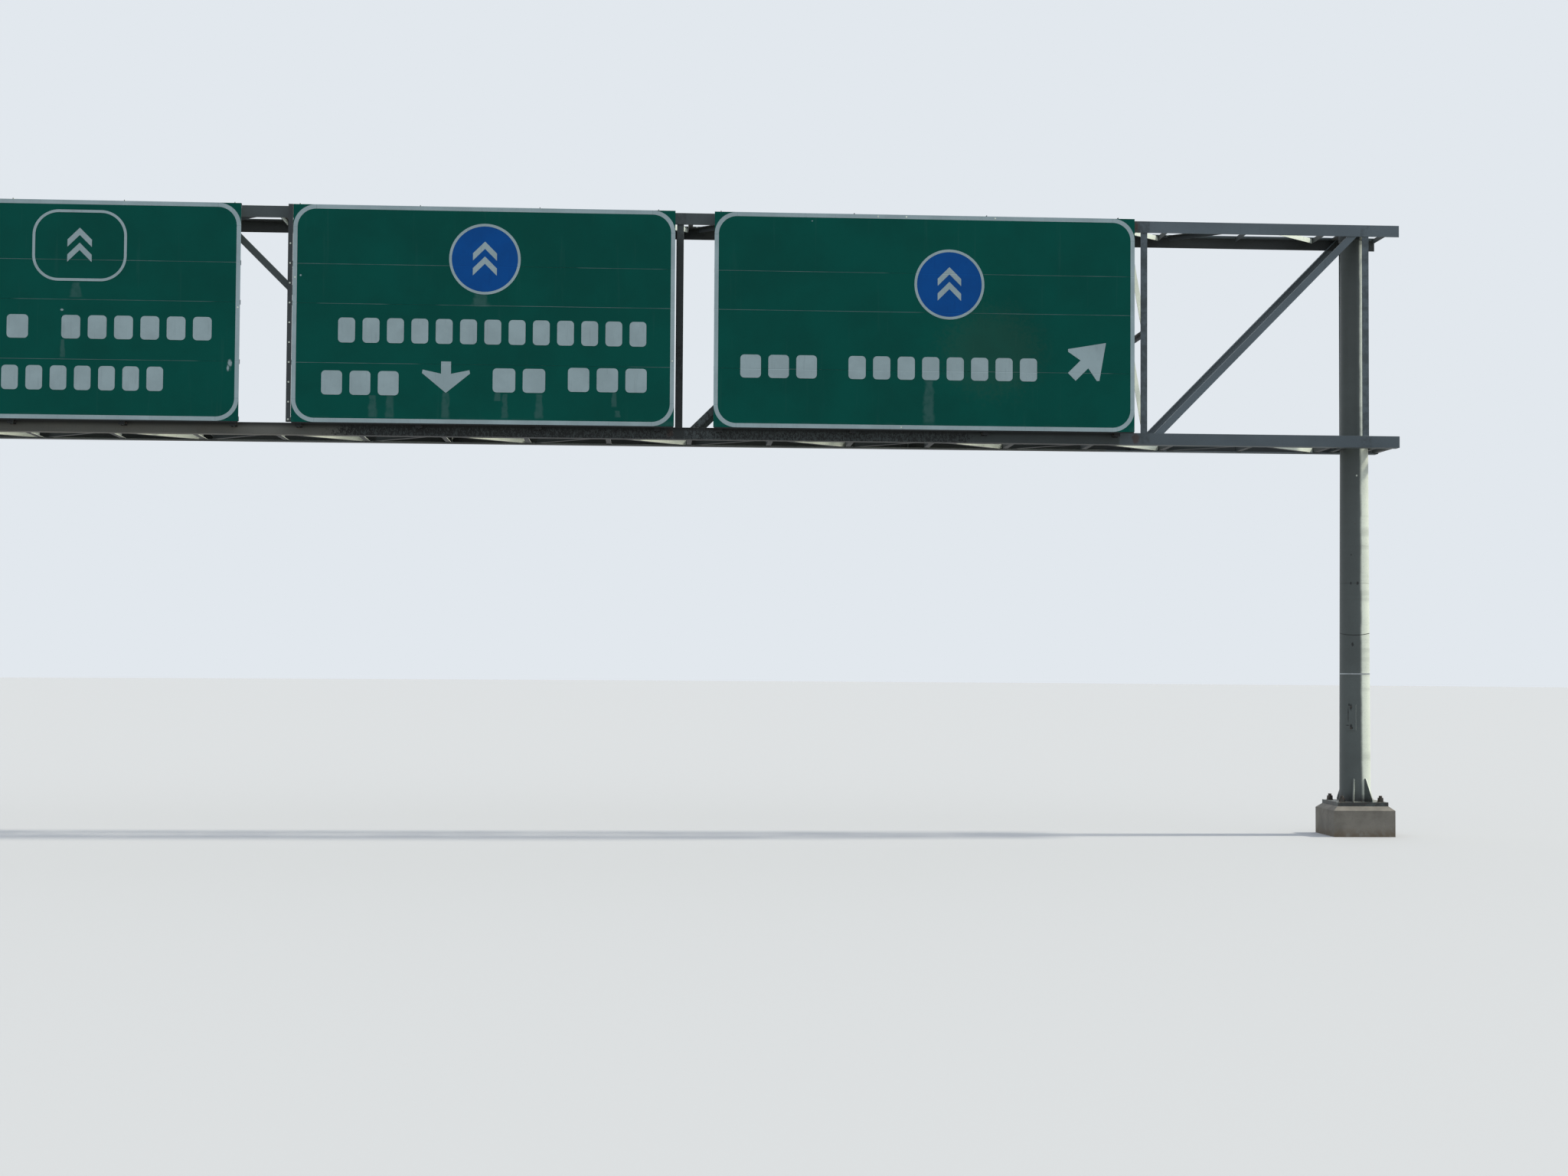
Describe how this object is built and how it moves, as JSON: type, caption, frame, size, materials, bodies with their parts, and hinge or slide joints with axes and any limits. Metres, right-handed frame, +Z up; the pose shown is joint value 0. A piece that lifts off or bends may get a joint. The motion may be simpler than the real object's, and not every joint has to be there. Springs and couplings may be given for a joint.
{
  "type": "overhead sign gantry",
  "caption": "Overhead road sign gantry: a box truss of steel angles on tapered posts, carrying large green direction panels over the traffic",
  "frame": {"origin": "on the ground at mid-span, in the middle of the outline seen from above", "axes": "+X along the span to the right of someone who reads the panels, +Y away from them, +Z up"},
  "size_m": [25.116, 1.224, 8.083],
  "materials": {
    "truss_steel": "weathered paint",
    "bracing_steel": "weathered paint",
    "post_steel": "weathered paint",
    "bolt_steel": "galvanised, stained",
    "pedestal_concrete": "rough",
    "green_sheet": "green reflective film",
    "stiffener_aluminium": "mill"
  },
  "bodies": {
    "root": {"front_top_chord": "truss_steel", "rear_top_chord": "truss_steel", "front_bottom_chord": "truss_steel", "rear_bottom_chord": "truss_steel", "front_verticals": "truss_steel", "rear_verticals": "truss_steel", "front_diagonals": "truss_steel", "rear_diagonals": "truss_steel", "top_bracing": "bracing_steel", "bottom_bracing": "bracing_steel", "cross_frames": "bracing_steel", "left_cap_plate": "bracing_steel", "right_cap_plate": "bracing_steel", "left_post_collar": "bracing_steel", "right_post_collar": "bracing_steel", "left_saddle_channels": "bracing_steel", "right_saddle_channels": "bracing_steel", "middle_sign_edge_bar": "bracing_steel", "left_sign_beams": "bracing_steel", "middle_sign_beams": "bracing_steel", "right_sign_beams": "bracing_steel", "left_post": "post_steel", "right_post": "post_steel", "left_hand_hole_cover": "post_steel", "right_hand_hole_cover": "post_steel", "left_base_plate": "post_steel", "right_base_plate": "post_steel", "left_base_gussets": "post_steel", "right_base_gussets": "post_steel", "left_clamp_rods": "bolt_steel", "right_clamp_rods": "bolt_steel", "left_anchor_bolts": "bolt_steel", "right_anchor_bolts": "bolt_steel", "left_pedestal": "pedestal_concrete", "right_pedestal": "pedestal_concrete", "left_sign_sheets": "green_sheet", "middle_sign_sheets": "green_sheet", "right_sign_sheets": "green_sheet", "left_sign_stiffeners": "stiffener_aluminium", "middle_sign_stiffeners": "stiffener_aluminium", "right_sign_stiffeners": "stiffener_aluminium"}
  },
  "joints": []
}
